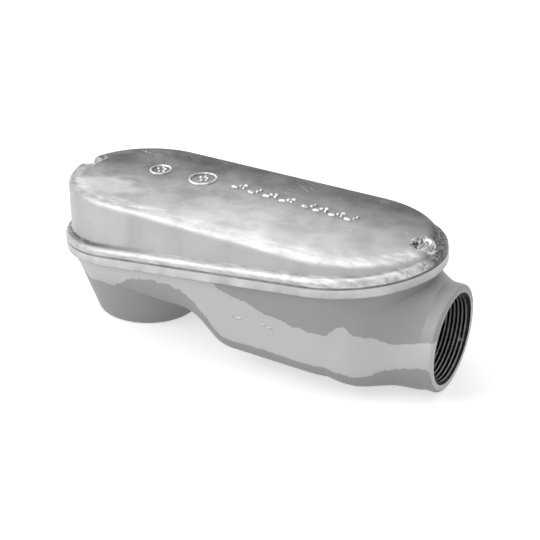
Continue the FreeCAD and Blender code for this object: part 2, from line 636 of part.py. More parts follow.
def cover_outside():
    """The cover's outer form with its screw well, dished seat and holes."""
    body = new_body("cover_outside")
    dome(body, "0", "Sizes.dome_round")
    pocket(body, "under_cover", joint_rectangle(body, "cover_joint", COVER_LOW), PAST)
    outline = new_sketch(body, "cover_flange_outline", "XY_Plane", on_joint=COVER_LOW)
    draw_stadium(outline, "-Sizes.flange_back", "Sizes.flange_length", "Sizes.flange_radius")
    plate = pad(body, "cover_flange", outline, "Sizes.bead_height")
    left_centre = size("flange_radius") - size("flange_back")
    right_centre = value(FLANGE_END) - size("flange_radius")
    slope = math.radians(size("joint_tilt"))

    def on_outline(point):
        """Is the point on the upright edge surface of the flange?"""
        along = point.x * math.cos(slope) + (point.z - size("joint_rise")) * math.sin(slope)
        beyond = along - max(left_centre, min(right_centre, along))
        return abs(math.hypot(beyond, point.y) - size("flange_radius")) < 0.05

    def is_bead(point, edge):
        return on_outline(point) and above_joint(point) > value(COVER_LOW) + 1

    bead = fillet(body, "bead_round", plate, is_bead, "Sizes.bead_round")

    def is_low_edge(point, edge):
        return on_outline(point) and above_joint(point) < value(COVER_LOW) + 0.01

    fillet(body, "cover_break", bead, is_low_edge, "Sizes.flange_break")
    well = joint_circle(body, "screw_well_circle", DEEP_SCREW, "Sizes.well_radius", on_joint=SEAT)
    pocket(body, "screw_well", well, PAST, up=True)
    seat = joint_circle(
        body, "seat_circle", SHALLOW_SCREW, "Sizes.head_radius + Sizes.seat_clearance", on_joint=SEAT,
    )
    dish = pocket(body, "dished_seat", seat, "Sizes.bead_height", up=True)
    dish.setExpression("TaperAngle", "Sizes.seat_flare")
    for name, centre in (("deep", DEEP_SCREW), ("shallow", SHALLOW_SCREW)):
        hole = joint_circle(body, name + "_hole_circle", centre, "Sizes.screw_radius + Sizes.hole_clearance")
        pocket(body, name + "_screw_hole", hole, PAST, up=True)
    return body


def cover_core():
    """The empty space under the dome, with metal left round the well and the shallow screw."""
    body = new_body("cover_core")
    dome(body, "Sizes.cover_wall", "Sizes.dome_round - Sizes.cover_wall")
    pocket(body, "under_core", joint_rectangle(body, "core_joint", "0"), PAST)
    around_well = "Sizes.well_radius + Sizes.cover_wall"
    for name, centre, radius in (
        ("well_wall", DEEP_SCREW, around_well), ("seat_boss", SHALLOW_SCREW, "Sizes.shallow_boss"),
    ):
        ring = joint_circle(body, name + "_circle", centre, radius)
        pocket(body, name, ring, PAST, up=True)
    return body


def gasket():
    """The flat gasket between the flanges, following the casting's opening and its bosses."""
    body = new_body("gasket")
    outer = new_sketch(body, "gasket_outline", "XY_Plane", on_joint="0")
    inset = "Sizes.gasket_inset"
    draw_stadium(
        outer, "-Sizes.flange_back + " + inset, "Sizes.flange_length - 2 * " + inset,
        "Sizes.flange_radius - " + inset,
    )
    pad(body, "gasket_sheet", outer, "Sizes.gasket_thickness")
    inner = new_sketch(body, "gasket_opening", "XY_Plane", on_joint="0")
    opening = "(Sizes.flange_overhang + Sizes.wall)"
    draw_stadium(
        inner, "-Sizes.flange_back + " + opening, "Sizes.flange_length - 2 * " + opening,
        "Sizes.flange_radius - " + opening,
    )
    pocket(body, "gasket_window", inner, PAST, up=True)
    for name, centre in (("deep", DEEP_SCREW), ("shallow", SHALLOW_SCREW)):
        lobe = joint_circle(body, name + "_lobe_circle", centre, "Sizes.boss_radius")
        pad(body, name + "_lobe", lobe, "Sizes.gasket_thickness")
    for name, centre in (("deep", DEEP_SCREW), ("shallow", SHALLOW_SCREW)):
        hole = joint_circle(
            body, name + "_gasket_circle", centre, "Sizes.screw_radius + Sizes.hole_clearance",
        )
        pocket(body, name + "_gasket_hole", hole, PAST, up=True)
    return body


def cover_screw(name, along):
    """A slotted round-head screw, seated on the cover at a distance along the joint."""
    body = new_body(name)
    profile = new_sketch(body, name + "_profile", "XZ_Plane")
    profile.AttachmentOffset = Placement(Vector(), Rotation(Vector(0, 0, 1), 90))
    draw_polygon(profile, [
        ("-Sizes.screw_length", "0"), ("Sizes.head_height", "0"),
        ("Sizes.head_height", "Sizes.head_radius"), ("0", "Sizes.head_radius"),
        ("0", "Sizes.screw_radius"), ("-Sizes.screw_length", "Sizes.screw_radius"),
    ])
    turned = revolve(body, name + "_turned", profile)

    def is_crown(point, edge):
        return abs(point.z - size("head_height")) < 0.01 and edge.Closed

    fillet(body, name + "_crown", turned, is_crown, "Sizes.head_round")
    slot = new_sketch(body, name + "_slot_outline", "XY_Plane", lift="Sizes.head_height")
    half, reach = "Sizes.slot_width / 2", "2 * Sizes.head_radius"
    draw_polygon(slot, [("-" + half, "-" + reach), (half, "-" + reach), (half, reach), ("-" + half, reach)])
    pocket(body, name + "_slot", slot, "Sizes.slot_depth")
    body.Placement = Placement(Vector(), Rotation(Vector(0, -1, 0), size("joint_tilt")))
    body.setExpression("Placement.Rotation.Angle", "Sizes.joint_tilt")
    tilt = "Sizes.joint_tilt"
    body.setExpression("Placement.Base.x", "(%s) * cos(%s) - (%s) * sin(%s)" % (along, tilt, SEAT, tilt))
    body.setExpression(
        "Placement.Base.z",
        "Sizes.joint_rise + (%s) * sin(%s) + (%s) * cos(%s)" % (along, tilt, SEAT, tilt),
    )
    return body


parts = [
    cut("body_casting", casting_outside(), casting_core()),
    cut("cover", cover_outside(), cover_core()),
    gasket(),
    cover_screw("cover_screw_deep_end", DEEP_SCREW),
    cover_screw("cover_screw_shallow_end", SHALLOW_SCREW),
]
doc.removeObject(gauge.Name)
doc.recompute()

failed = [thing.Name for thing in doc.Objects if {"Invalid", "Error"} & set(thing.State)]
failed += [part.Label for part in parts if part.Shape.isNull() or not part.Shape.isValid()]
if failed:
    raise RuntimeError("not built: " + ", ".join(failed))

os.makedirs("parts", exist_ok=True)
for part in parts:
    print(part.Label, len(part.Shape.Solids), "solid", round(part.Shape.Volume), "mm3")
    part.Shape.exportStep("parts/%s.step" % part.Label)
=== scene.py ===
"""Angled conduit body: galvanized casting with two threaded hubs and a sloping domed cover."""
import math

import bmesh
import bpy
from mathutils import Matrix, Vector


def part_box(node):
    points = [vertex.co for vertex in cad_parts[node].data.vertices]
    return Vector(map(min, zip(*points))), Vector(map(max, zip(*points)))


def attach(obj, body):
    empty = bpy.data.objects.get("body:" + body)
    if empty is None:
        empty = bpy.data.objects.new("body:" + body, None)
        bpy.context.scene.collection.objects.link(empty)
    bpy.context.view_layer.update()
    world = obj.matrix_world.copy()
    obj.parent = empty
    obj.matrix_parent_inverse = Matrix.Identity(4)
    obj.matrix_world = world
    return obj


MM = 0.001

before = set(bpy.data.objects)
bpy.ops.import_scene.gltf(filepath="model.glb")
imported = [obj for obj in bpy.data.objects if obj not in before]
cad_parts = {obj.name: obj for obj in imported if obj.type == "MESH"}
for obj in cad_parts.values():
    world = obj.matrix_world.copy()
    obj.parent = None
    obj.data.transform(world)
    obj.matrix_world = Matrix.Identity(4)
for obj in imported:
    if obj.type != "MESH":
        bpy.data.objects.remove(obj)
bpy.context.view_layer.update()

# ---------------------------------------------------------------- sizes of the real part, in mm
HUB_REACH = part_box("body_casting")[1][0] / MM
HUB_RISE = 46.9                     # the end hub's axis
HUB_RADIUS = 42.4
THREAD_PITCH = 3.175                # 8 threads per inch
THREAD_ROOT, THREAD_CREST = 35.9, 33.7
THREAD_LENGTH = 25.4
THREAD_TAPER = 1 / 32               # on the radius
THREAD_FOOT, THREAD_FLAT = 0.49, 0.17   # half widths of a ridge's foot and crest, in pitches
BORE_SHADE_RADIUS, BORE_SHADE_DEPTH = THREAD_ROOT + 0.35, THREAD_LENGTH + 6   # the part of the bores painted dark as shade
MOUTH = 1.15                        # depth of the chamfer before the first thread
NICK = (272.8, 30.3, 30.8)          # a bright nick across the end hub's outer turns
JOINT_RISE, JOINT_TILT = 71.7, math.radians(7.5)
FLANGE_THICK = 7.2                  # of the casting, below the joint
BEAD_TOP = 8.1                      # above the joint
COVER_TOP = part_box("cover")[1][2] / MM
SEAT_RADIUS = 10.0                  # the dish round the shallow end's screw
WALL_HALF_WIDTH, WALL_RISE = 69.3, 50.0     # the casting's side wall, and where it is so wide
WALL_DRAFT = math.radians(3)

# places along the part start 80 mm before the back hub's axis, so that none is below nought
ALONG_START = 80
BORDER_SPAN = 400.0
BORDER_RAGGED = 11.0                # from the lowest to the highest of a border's wandering
LOWER_BORDER_SIDE = 70.0            # half the width at which the lower border's heights hold
LOWER_BORDER_FALL = 0.6             # per mm inwards from there
# lower edge of the painted shade on the sides, and upper edge of the painted shade on the back hub
UPPER_BORDER = (
    (160, 150), (170, 98), (176, 84), (186, 77), (201, 70.5), (216, 67.5), (229, 65), (247, 61),
    (264, 59), (281, 57.5), (288, 64), (294, 66.5), (304, 62), (317, 58.5), (328, 55.5), (344, 58),
    (360, 62),
)
LOWER_BORDER = (
    (10, 50), (40, 54), (71, 48), (93, 49), (120, 61), (139, 63), (158, 61), (172, 54), (186, 38),
    (196, 12), (210, 1),
)

# foundry marks, all plain rings, pads and bars
MARK_HEIGHT = 1.3
RING_WIDTH = 2.0
RINGS = ((4.8, 11.6, 8.0, 1.2), (44.5, 14.5, 10.4, 1.2))    # along, across, radius, squash
RING_PADS = ((-3.2, 1.6), (2.8, 2.6), (0.6, -3.2), (-0.6, 5.0), (3.8, -1.6))
PAD_LENGTH, PAD_WIDTH = 3.6, 3.0
MARK_PLACES = (
    (78.2, 17.0), (93.0, 15.0), (108.4, 14.9), (124.0, 13.6), (143.5, 13.4), (155.0, 12.0),
    (169.5, 10.8), (182.0, 10.0),
)
# bars round each place: along, across, length, width and turn in degrees, three layouts in turn
LAYOUTS = (
    ((-3.0, -2.8, 6.8, 3.6, 12), (0.6, 1.0, 4.6, 3.2, 60), (3.6, 4.2, 4.8, 3.4, 15),
     (4.0, -0.6, 3.4, 3.0, 90)),
    ((-1.8, -2.6, 7.2, 3.6, -8), (2.4, 1.0, 4.2, 3.2, 70), (3.6, 4.8, 4.2, 2.6, 75)),
    ((-2.8, -2.8, 7.0, 3.6, 4), (-0.4, 1.6, 4.2, 3.4, 40), (3.2, 4.0, 4.6, 3.2, -20),
     (4.4, -0.2, 4.8, 2.8, 80)),
)
# pads on the side wall: along, height, length and turn in degrees
SIDE_PADS = (
    (125.0, 53.5, 4.0, 70), (130.5, 52.5, 5.5, 10), (152.5, 53.2, 3.6, 15), (158.0, 52.2, 3.2, -5),
)
SIDE_PAD_WIDTH, SIDE_PAD_HEIGHT = 2.0, 0.6

# ---------------------------------------------------------------- greys, as they look on screen
# the casting's zinc: a grey for painted shade, and one in full light
SHADED_ZINC, LIT_ZINC = (0.62, 0.68), (0.77, 0.83)     # from and to, as the zinc is mottled
FLANGE_ZINC, BEAD_ZINC, WALL_ZINC = (0.70, 0.88), (0.68, 0.76), (0.69, 0.74)
# the cover's top: greys at the front, and darker ones at the back for a painted reflection
FRONT_TOP_DARK, FRONT_TOP_LIGHT = (0.65, 0.78), (0.73, 0.88)    # at the deep end and at the far end
BACK_REFLECTION_DARK, BACK_REFLECTION_LIGHT = (0.26, 0.34), 0.40
# the crease grey is painted shade where the dome meets the bead
# the rim's bright grey is a painted highlight on the rim and bead
PALE_PATCH, RIM_HIGHLIGHT, CREASE_SHADE, DARK_END = 0.78, 0.95, 0.38, 0.16
# marks: a painted highlight, painted shade on the far sides and at the foot, and dirt
SEAT, MARK, MARK_SHADED_SIDE, MARK_DIRT, MARK_FOOT_SHADE = (0.88, 0.3), 0.9, 0.1, 0.3, 0.2
SCRATCH, COVER_WEAR, CASTING_WEAR, SCREW_WEAR = 0.92, 0.95, 0.9, 0.92
# the bores' grey and the threads' groove greys are painted shade
BORE_SHADE, GROOVE_SHADE, CREST, NICKED = 0.06, (0.03, 0.12), (0.85, 1.0), 0.95
GASKET, SCREW = (0.55, 0.78), (0.5, 0.75)
FLOOR_SHADE, FLOOR_SEEN, FLOOR_GLOW = 0.62, 0.9, 0.55

SKIN_DEPTH, DUST_DEPTH = 0.0006, 0.0001     # bump heights in metres


# ---------------------------------------------------------------- shader helpers
class Bench:
    """Places and wires nodes in one node tree."""

    def __init__(self, tree):
        self.tree = tree
        self.count = 0

    def add(self, kind, **settings):
        """A node with its settings and input values; a value may be another node's socket."""
        node = self.tree.nodes.new(kind)
        node.location = (180 * (self.count % 8), -220 * (self.count // 8))
        self.count += 1
        for name, value in settings.items():
            if hasattr(node, name):
                setattr(node, name, value)
                continue
            self.give(self.socket(node, name), value)
        return node

    def give(self, socket, value):
        """Sets an input, or wires another node's output to it."""
        if isinstance(value, bpy.types.NodeSocket):
            self.tree.links.new(value, socket)
        else:
            socket.default_value = value

    @staticmethod
    def socket(node, name):
        """An input by its name with underscores for spaces, or by its place such as in0."""
        if name.startswith("in") and name[2:].isdigit():
            return node.inputs[int(name[2:])]
        return node.inputs[name.replace("_", " ")]

    def math(self, operation, first, second=0.0, third=0.0, clamp=False):
        return self.add(
            "ShaderNodeMath", operation=operation, use_clamp=clamp,
            in0=first, in1=second, in2=third,
        ).outputs[0]

    def product(self, first, *others):
        for other in others:
            first = self.math("MULTIPLY", first, other)
        return first

    def vector(self, operation, **inputs):
        outputs = self.add("ShaderNodeVectorMath", operation=operation, **inputs).outputs
        return outputs["Value" if operation == "LENGTH" else "Vector"]

    def axes(self, place):
        return self.add("ShaderNodeSeparateXYZ", Vector=place).outputs

    def stretch(self, place, x=1.0, z=1.0):
        """The place with its axes scaled: below 1, what follows is drawn out along that axis."""
        return self.vector("MULTIPLY", in0=place, in1=(x, 1.0, z))

    def noise(self, place, scale, detail=3.0, roughness=0.5, distortion=0.0):
        return self.add(
            "ShaderNodeTexNoise", Vector=place, Scale=scale, Detail=detail, Roughness=roughness,
            Distortion=distortion,
        ).outputs[0]

    def swing(self, place, scale, reach, detail=3.0):
        """Noise about nought that swings a length to and fro."""
        return self.math("MULTIPLY_ADD", self.noise(place, scale, detail), 2 * reach, -reach)

    def spread(self, value, low, high, out_low=0.0, out_high=1.0, smooth=True):
        """Takes the range low to high onto another range, held at its ends."""
        return self.add(
            "ShaderNodeMapRange", interpolation_type="SMOOTHSTEP" if smooth else "LINEAR",
            Value=value, From_Min=low, From_Max=high, To_Min=out_low, To_Max=out_high,
        ).outputs[0]

    def mix(self, factor, first, second):
        """Mixes two colours, which are the node's inputs 6 and 7 and its output 2."""
        node = self.add("ShaderNodeMix", data_type="RGBA")
        for number, value in ((0, factor), (6, first), (7, second)):
            self.give(node.inputs[number], value)
        return node.outputs[2]

    def shade(self, factor, levels):
        """A grey between two levels."""
        return self.mix(factor, grey(levels[0]), grey(levels[1]))

    def lay(self, colour, mask, level):
        """A grey laid over a colour."""
        return self.mix(mask, colour, grey(level))

    def border(self, along, points):
        """The height of a border over the place along the part, both in mm up to its span."""
        curve = self.add("ShaderNodeFloatCurve", Value=self.math("DIVIDE", along, BORDER_SPAN))
        line = curve.mapping.curves[0]
        line.points[0].location = (0.0, points[0][1] / BORDER_SPAN)
        line.points[1].location = (1.0, points[-1][1] / BORDER_SPAN)
        for x, height in points:
            line.points.new(x / BORDER_SPAN, height / BORDER_SPAN)
        for point in line.points:
            point.handle_type = "AUTO_CLAMPED"
        curve.mapping.update()
        return self.math("MULTIPLY", curve.outputs[0], BORDER_SPAN)

    def above_joint(self, place):
        """The height in mm above the tilted joint between casting and cover."""
        x, _, z = self.axes(place)
        height = self.product(self.math("SUBTRACT", z, JOINT_RISE), math.cos(JOINT_TILT))
        return self.math("MULTIPLY_ADD", x, -math.sin(JOINT_TILT), height)

    def seen(self):
        """1 where a camera, glossy or transmission ray looks, 0 for the light on the object."""
        path = self.add("ShaderNodeLightPath").outputs
        seen = self.math("MAXIMUM", path["Is Camera Ray"], path["Is Glossy Ray"])
        return self.math("MAXIMUM", seen, path["Is Transmission Ray"])


def grey(level):
    """A neutral colour from a level as it looks on screen, 0 to 1."""
    linear = level / 12.92 if level <= 0.04045 else ((level + 0.055) / 1.055) ** 2.4
    return (linear, linear, linear, 1.0)


FLOAT, VECTOR = "NodeSocketFloat", "NodeSocketVector"


def group(name, inputs, outputs):
    """A shader node group that starts from a place; gives its tree, bench and both ends."""
    tree = bpy.data.node_groups.new(name, "ShaderNodeTree")
    tree.interface.new_socket("Place", in_out="INPUT", socket_type=VECTOR)
    for label, kind, value in inputs:
        socket = tree.interface.new_socket(label, in_out="INPUT", socket_type=kind)
        socket.default_value = value
    for label in outputs:
        tree.interface.new_socket(label, in_out="OUTPUT", socket_type=FLOAT)
    start = tree.nodes.new("NodeGroupInput")
    end = tree.nodes.new("NodeGroupOutput")
    return tree, Bench(tree), start.outputs, end.inputs


# ---------------------------------------------------------------- shared effects, all in mm
def cast_skin_group():
    """Sand-cast skin under zinc: fine pebbles, slow waves in the surface and a few pimples."""
    tree, bench, given, result = group(
        "cast skin",
        [("Pebbles", FLOAT, 1.0), ("Waves", FLOAT, 1.0), ("Pimples", FLOAT, 1.0)],
        ["Height", "Mottle"],
    )
    place = given["Place"]
    pebbles = bench.noise(place, 0.62, detail=4.0, roughness=0.6)
    waves = bench.noise(place, 0.03, detail=2.0, roughness=0.45)
    cells = bench.add("ShaderNodeTexVoronoi", Vector=place, Scale=0.08)
    pimples = bench.spread(cells.outputs["Distance"], 0.03, 0.10, 1.0, 0.0)
    sparse = bench.spread(bench.noise(place, 0.009, detail=1.0), 0.54, 0.62)
    pimples = bench.product(pimples, sparse)
    height = bench.product(pebbles, given["Pebbles"])
    height = bench.math("MULTIPLY_ADD", waves, given["Waves"], height)
    height = bench.math("MULTIPLY_ADD", pimples, given["Pimples"], height)
    tree.links.new(height, result["Height"])
    tree.links.new(bench.noise(place, 0.07, detail=6.0, roughness=0.65), result["Mottle"])
    return tree


def shade_border_group():
    """Painted shade and dark reflection on the casting, with ragged edges like zinc runs: darker
    above a border on the sides under the flange, below another on the back hub, and on the
    underside; the flange is a band of its own."""
    tree, bench, given, result = group("painted shade borders", [], ["Bright", "Band"])
    x, y, z = bench.axes(given["Place"])
    along = bench.math("ADD", x, ALONG_START)
    ragged = bench.noise(given["Place"], 0.08, detail=6.0, roughness=0.7)
    ragged = bench.math("SUBTRACT", ragged, 0.5)
    height = bench.math("MULTIPLY_ADD", ragged, BORDER_RAGGED, z)

    above = bench.math("SUBTRACT", height, bench.border(along, UPPER_BORDER))
    above = bench.spread(above, -0.4, 0.4)
    inward = bench.math("SUBTRACT", LOWER_BORDER_SIDE, bench.math("ABSOLUTE", y))
    below = bench.border(along, LOWER_BORDER)
    below = bench.math("MULTIPLY_ADD", inward, -LOWER_BORDER_FALL, below)
    below = bench.spread(bench.math("SUBTRACT", below, height), -0.6, 0.6)
    # painted shade on the underside, which starts where the surface turns down
    facing = bench.axes(bench.add("ShaderNodeNewGeometry").outputs["Normal"])[2]
    facing = bench.math("MULTIPLY_ADD", ragged, 0.25, facing)
    under = bench.spread(facing, -0.21, -0.17, 1.0, 0.0)
    under = bench.product(under, bench.spread(x, 78.0, 96.0))

    shaded = bench.math("MAXIMUM", bench.math("MAXIMUM", above, below), under)
    bright = bench.math("SUBTRACT", 1.0, shaded)
    lift = bench.above_joint(given["Place"])
    band = bench.spread(lift, -FLANGE_THICK, -FLANGE_THICK + 0.6)
    tree.links.new(bench.math("MAXIMUM", bright, band), result["Bright"])
    tree.links.new(band, result["Band"])
    return tree


def runs_group():
    """Soft upright patches where zinc ran down a wall, and cloudy patches on the level."""
    tree, bench, given, result = group("runs", [], ["Runs", "Clouds"])
    drawn = bench.stretch(given["Place"], z=0.5)
    runs = bench.noise(drawn, 0.028, detail=3.5, roughness=0.55, distortion=0.5)
    tree.links.new(bench.spread(runs, 0.36, 0.64, smooth=False), result["Runs"])
    clouds = bench.noise(given["Place"], 0.045, detail=5.0, roughness=0.6, distortion=0.3)
    tree.links.new(bench.spread(clouds, 0.33, 0.67, smooth=False), result["Clouds"])
    return tree


def patch_group():
    """An oval patch with a soft, wandering edge."""
    tree, bench, given, result = group(
        "patch",
        [("Centre", VECTOR, (0, 0, 0)), ("Squash", VECTOR, (1, 1, 0.3)), ("Radius", FLOAT, 20.0),
         ("Softness", FLOAT, 6.0), ("Ragged", FLOAT, 9.0)],
        ["Mask"],
    )
    offset = bench.vector("SUBTRACT", in0=given["Place"], in1=given["Centre"])
    offset = bench.vector("MULTIPLY", in0=offset, in1=given["Squash"])
    reach = bench.vector("LENGTH", in0=offset)
    ragged = bench.product(bench.swing(given["Place"], 0.06, 1.0), given["Ragged"])
    inside = bench.math("SUBTRACT", given["Radius"], bench.math("ADD", reach, ragged))
    inside = bench.math("DIVIDE", inside, given["Softness"])
    tree.links.new(bench.math("ADD", inside, 0.5, clamp=True), result["Mask"])
    return tree


def scratches_group():
    """Fine handling scratches, here and there, along one direction."""
    tree, bench, given, result = group(
        "scratches", [("Turn", FLOAT, 0.3), ("Amount", FLOAT, 0.5)], ["Scratch"],
    )
    turned = bench.add(
        "ShaderNodeVectorRotate", rotation_type="Z_AXIS", Vector=given["Place"],
        Angle=given["Turn"],
    )
    drawn = bench.stretch(turned.outputs[0], x=0.12)
    line = bench.math("SUBTRACT", bench.noise(drawn, 0.16, detail=2.0), 0.5)
    line = bench.spread(bench.math("ABSOLUTE", line), 0.0, 0.012, 1.0, 0.0, smooth=False)
    here = bench.noise(given["Place"], 0.03, detail=3.0, roughness=0.6)
    here = bench.math("ADD", here, bench.math("MULTIPLY_ADD", given["Amount"], 0.4, -0.2))
    tree.links.new(bench.product(line, bench.spread(here, 0.5, 0.6)), result["Scratch"])
    return tree


def edge_wear_group():
    """Edges rubbed bright: the pointed parts of the shape, broken up by noise."""
    tree, bench, given, result = group(
        "edge wear", [("From", FLOAT, 0.52), ("To", FLOAT, 0.62)], ["Wear"],
    )
    point = bench.add("ShaderNodeNewGeometry").outputs["Pointiness"]
    broken = bench.noise(given["Place"], 0.14, detail=4.0, roughness=0.6)
    broken = bench.math("SUBTRACT", broken, 0.5)
    point = bench.math("MULTIPLY_ADD", broken, 0.06, point)
    wear = bench.add(
        "ShaderNodeMapRange", Value=point, From_Min=given["From"], From_Max=given["To"],
    )
    tree.links.new(wear.outputs[0], result["Wear"])
    return tree


EFFECTS = {
    "skin": cast_skin_group(),
    "shade_borders": shade_border_group(),
    "runs": runs_group(),
    "patch": patch_group(),
    "scratches": scratches_group(),
    "wear": edge_wear_group(),
}


def effect(bench, name, **inputs):
    """One of the shared effects, placed in a material with its own values."""
    node = bench.add("ShaderNodeGroup", node_tree=EFFECTS[name])
    for label, value in inputs.items():
        bench.give(node.inputs[label], value)
    return node.outputs


def empty_material(name):
    material = bpy.data.materials.new(name)
    material.use_nodes = True
    material.node_tree.nodes.clear()
    return material, Bench(material.node_tree)


def new_material(name):
    """A material with a surface shader and the object's own coordinates in mm."""
    material, bench = empty_material(name)
    surface = bench.add("ShaderNodeBsdfPrincipled")
    bench.add("ShaderNodeOutputMaterial", Surface=surface.outputs[0])
    place = bench.add("ShaderNodeTexCoord").outputs["Object"]
    place = bench.vector("SCALE", in0=place, Scale=1 / MM)
    return material, bench, surface, place


def set_normal(bench, surface, height, depth):
    """Feeds a height from 0 to 1, times a depth in metres, to the surface's normal."""
    bump = bench.add("ShaderNodeBump", Strength=1.0, Distance=depth, Height=height)
    bench.give(surface.inputs["Normal"], bump.outputs[0])


# ---------------------------------------------------------------- the casting
def bore_shade_mask(bench, place):
    """Both threaded bores, painted dark as shade down to the thread's root."""
    x, y, z = bench.axes(place)
    masks = []
    for other, centre, depth in (
        (z, HUB_RISE, bench.math("SUBTRACT", HUB_REACH, x)), (x, 0.0, z),
    ):
        other = bench.math("SUBTRACT", other, centre)
        square = bench.math("MULTIPLY_ADD", other, other, bench.product(y, y))
        inside = bench.math("LESS_THAN", bench.math("SQRT", square), BORE_SHADE_RADIUS)
        masks.append(bench.product(inside, bench.math("LESS_THAN", depth, BORE_SHADE_DEPTH)))
    return bench.math("MAXIMUM", *masks)


def zinc_casting():
    """The body: galvanized iron, with painted shade above and below ragged borders and underneath.
    """
    material, bench, surface, place = new_material("zinc_casting")
    skin = effect(bench, "skin", Place=place, Pebbles=0.5, Waves=1.0, Pimples=0.5)
    shade_borders = effect(bench, "shade_borders", Place=place)
    runs = effect(bench, "runs", Place=place)
    wear = effect(bench, "wear", Place=place)
    # a lit grey and a grey with painted shade, of one zinc
    bright = bench.shade(skin["Mottle"], LIT_ZINC)
    bright = bench.mix(shade_borders["Band"], bright, bench.shade(runs["Runs"], FLANGE_ZINC))
    colour = bench.mix(shade_borders["Bright"], bench.shade(skin["Mottle"], SHADED_ZINC), bright)
    # painted shade inside both bores
    colour = bench.lay(colour, bore_shade_mask(bench, place), BORE_SHADE)
    colour = bench.lay(colour, wear["Wear"], CASTING_WEAR)
    bench.give(surface.inputs["Base Color"], colour)
    rough = bench.spread(skin["Mottle"], 0.3, 0.7, 0.5, 0.6)
    bench.give(surface.inputs["Roughness"], rough)
    surface.inputs["Metallic"].default_value = 0.5
    set_normal(bench, surface, skin["Height"], SKIN_DEPTH)
    return material


# ---------------------------------------------------------------- the cover
def cover_top(bench, place, clouds):
    """Its top: lighter at the front and darker towards the back, a painted reflection; duller
    towards the deep end, with one pale patch."""
    x, y, _ = bench.axes(place)
    across = bench.swing(bench.stretch(place, x=0.6), 0.03, 15.0, detail=5.0)
    deep = bench.math("MINIMUM", bench.math("SUBTRACT", x, 70.0), 0.0)
    deep = bench.math("DIVIDE", deep, 20.0)
    across = bench.math("ADD", bench.math("ADD", y, across), bench.product(deep, deep))
    # painted reflection: the top darkens towards the back, further forward at the deep end
    reflection_mask = bench.spread(across, -58.0, 52.0, smooth=False)
    far = bench.spread(x, 20.0, 150.0)
    front_top = bench.mix(clouds, bench.shade(far, FRONT_TOP_DARK), bench.shade(far, FRONT_TOP_LIGHT))
    back_reflection = bench.mix(clouds, bench.shade(far, BACK_REFLECTION_DARK), grey(BACK_REFLECTION_LIGHT))
    top = bench.mix(reflection_mask, front_top, back_reflection)
    pale = effect(
        bench, "patch", Place=place, Centre=(-12, -38, COVER_TOP), Squash=(0.6, 1, 0.3),
        Radius=16.0,
    )
    return bench.lay(top, bench.product(pale["Mask"], 0.6), PALE_PATCH)


def mottled_end(bench, place):
    """The far end's rim and bead, mottled dark."""
    x, y, _ = bench.axes(place)
    end = bench.spread(bench.math("MULTIPLY_ADD", y, 0.3, x), 246.0, 254.0)
    mottle = bench.noise(place, 0.28, detail=4.0, roughness=0.7)
    mottle = bench.spread(mottle, 0.38, 0.62, 0.45, 1.0)
    return bench.product(end, bench.spread(y, -34.0, -12.0), mottle)


def rim_highlight(bench, place, lift, streaks):
    """A painted highlight in streaks along the rim and the bead."""
    x, y, z = bench.axes(place)
    rim = bench.product(
        bench.spread(z, COVER_TOP - 5.0, COVER_TOP - 2.0),
        bench.spread(z, COVER_TOP - 0.5, COVER_TOP - 0.1, 1.0, 0.0),
    )
    rim = bench.math("MAXIMUM", rim, bench.spread(lift, BEAD_TOP + 1.5, BEAD_TOP - 0.5))
    return bench.product(
        rim, bench.spread(y, -5.0, -25.0), bench.spread(x, 110.0, 200.0, 0.5, 0.9),
        bench.spread(streaks, 0.4, 0.68, smooth=False),
    )


def crease_shade(bench, place, lift, streaks):
    """Painted shade and dark reflection where the dome stands on the bead, most at the deep end.
    """
    crease = bench.math("ABSOLUTE", bench.math("SUBTRACT", lift, BEAD_TOP + 0.4))
    return bench.product(
        bench.spread(crease, 0.4, 2.2, 1.0, 0.0),
        bench.spread(bench.axes(place)[0], 70.0, -30.0, 0.0, 0.8),
        bench.spread(streaks, 0.4, 0.5),
    )


def seat_patch(bench, place):
    """The dished seat of the shallow end's screw."""
    (low_x, low_y, _), (high_x, high_y, _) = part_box("cover_screw_shallow_end")
    centre = ((low_x + high_x) / 2 / MM, (low_y + high_y) / 2 / MM, COVER_TOP)
    return effect(
        bench, "patch", Place=place, Centre=centre, Squash=(1, 1, 0.05), Radius=SEAT_RADIUS,
        Softness=2.5, Ragged=3.0,
    )["Mask"]


def mark_light_and_shade(bench, place, rise):
    """Raised marks: a painted highlight where they face the front left, painted shade on the sides
    turned away and round their feet, with dirt.
    """
    facing = bench.axes(bench.add("ShaderNodeNewGeometry").outputs["Normal"])
    shaded_side = bench.math("ADD", facing[0], facing[1])
    uneven = bench.math("SUBTRACT", bench.noise(place, 0.2), 0.5)
    shaded_side = bench.math("MULTIPLY_ADD", uneven, 1.2, shaded_side)
    # painted highlight and shade by the way each side faces
    colour = bench.shade(bench.spread(shaded_side, 0.15, 0.45), (MARK, MARK_SHADED_SIDE))
    dirty = bench.spread(bench.noise(place, 0.18, detail=4.0), 0.45, 0.62)
    colour = bench.lay(colour, bench.product(dirty, 0.7), MARK_DIRT)
    # painted shade round the marks' feet
    foot = bench.spread(rise, 0.1, 0.35, 1.0, 0.0)
    return bench.lay(colour, bench.product(foot, 0.7), MARK_FOOT_SHADE)


